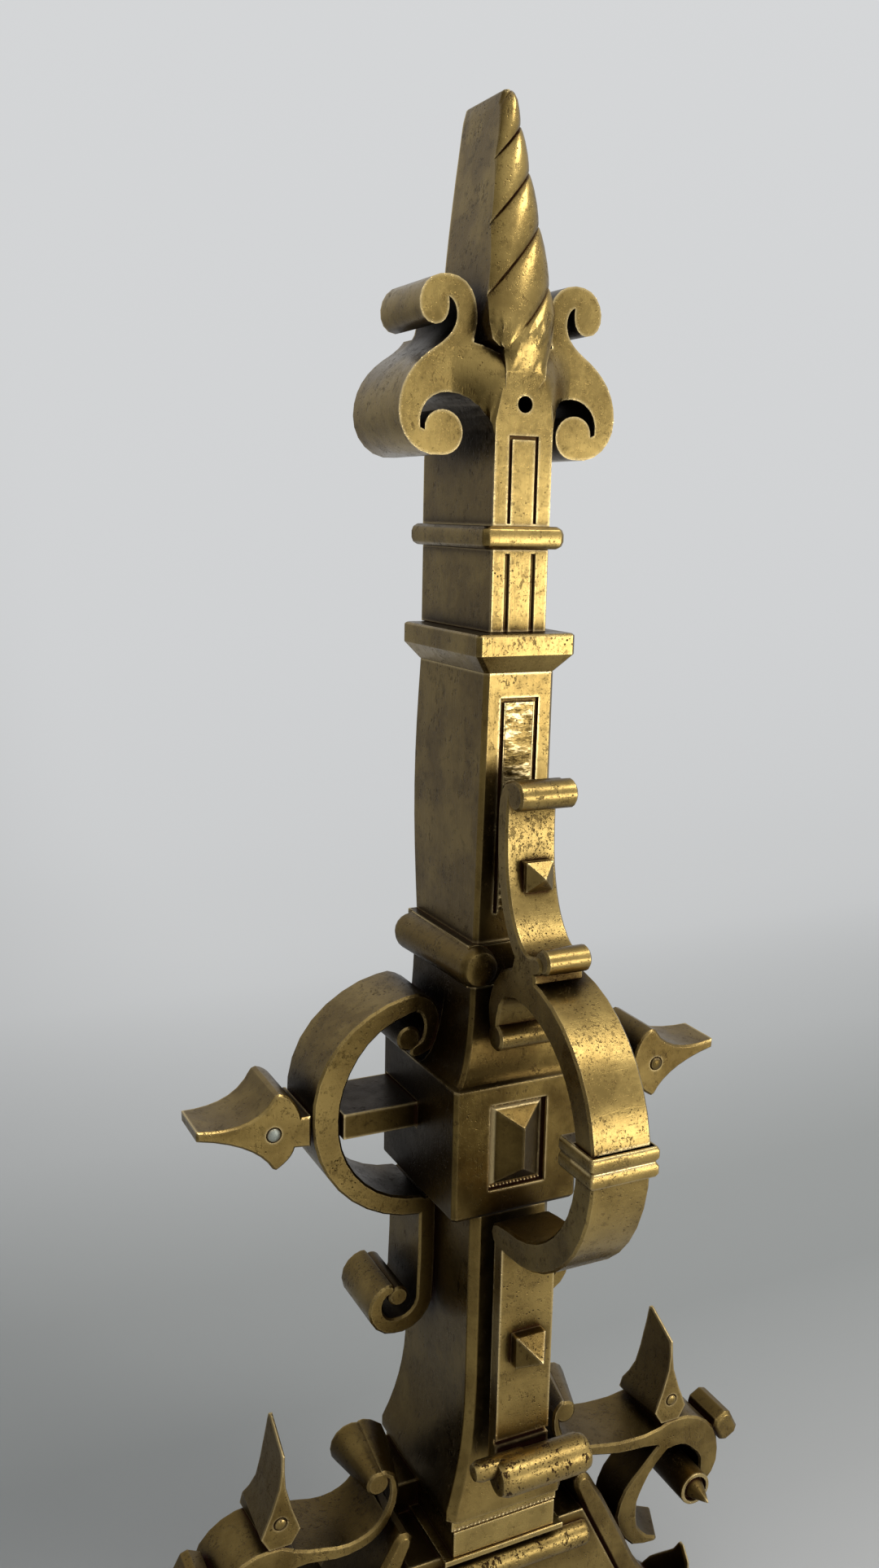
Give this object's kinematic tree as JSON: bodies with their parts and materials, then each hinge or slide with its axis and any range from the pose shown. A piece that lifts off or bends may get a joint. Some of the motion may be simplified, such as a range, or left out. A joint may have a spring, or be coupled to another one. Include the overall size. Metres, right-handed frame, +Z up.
{
  "type": "andiron",
  "caption": "Upright brass andiron front with strapwork rings at the front and sides, arrowheads on a cross bar, a twisted horn finial and spread scroll legs.",
  "frame": {"origin": "on the floor, under the middle of the whole object", "axes": "+X to the right seen from the front, +Y to the back, +Z up"},
  "size_m": [0.2802, 0.1566, 0.7023],
  "materials": {
    "polished_brass": "rubbed, with pits and brown recesses",
    "aged_brass": "aged, olive brown",
    "shadowed_brass": "aged and rough",
    "rivet_metal": "worn",
    "iron": "dark"
  },
  "bodies": {
    "root": {"plinth_band": "polished_brass", "plinth_fillet": "polished_brass", "base_torus": "polished_brass", "upper_shaft": "polished_brass", "lower_collar": "polished_brass", "neck": "polished_brass", "upper_collar": "polished_brass", "finial": "polished_brass", "front_strap": "polished_brass", "ring_clip": "polished_brass", "foot_roll": "polished_brass", "jewel": "polished_brass", "base_body": "aged_brass", "bead_slab": "aged_brass", "lower_shaft": "aged_brass", "centre_block": "aged_brass", "cushion_moulding": "aged_brass", "stud_upper": "aged_brass", "stud_lower": "aged_brass", "side_ring_right": "aged_brass", "side_ring_left": "aged_brass", "arrowhead_right": "aged_brass", "arrowhead_left": "aged_brass", "leg_right": "aged_brass", "leg_left": "aged_brass", "fin_rivet_right": "aged_brass", "fin_rivet_left": "aged_brass", "cross_bar": "shadowed_brass", "bracket_right": "shadowed_brass", "bracket_left": "shadowed_brass", "fin_right": "shadowed_brass", "fin_left": "shadowed_brass", "eye_pin_right": "shadowed_brass", "eye_pin_left": "shadowed_brass", "lug_right": "shadowed_brass", "lug_left": "shadowed_brass", "arrow_rivet_right": "rivet_metal", "arrow_rivet_left": "rivet_metal", "tie_rod": "iron", "tie_rod_washer": "iron", "tie_rod_nut": "iron"}
  },
  "joints": []
}
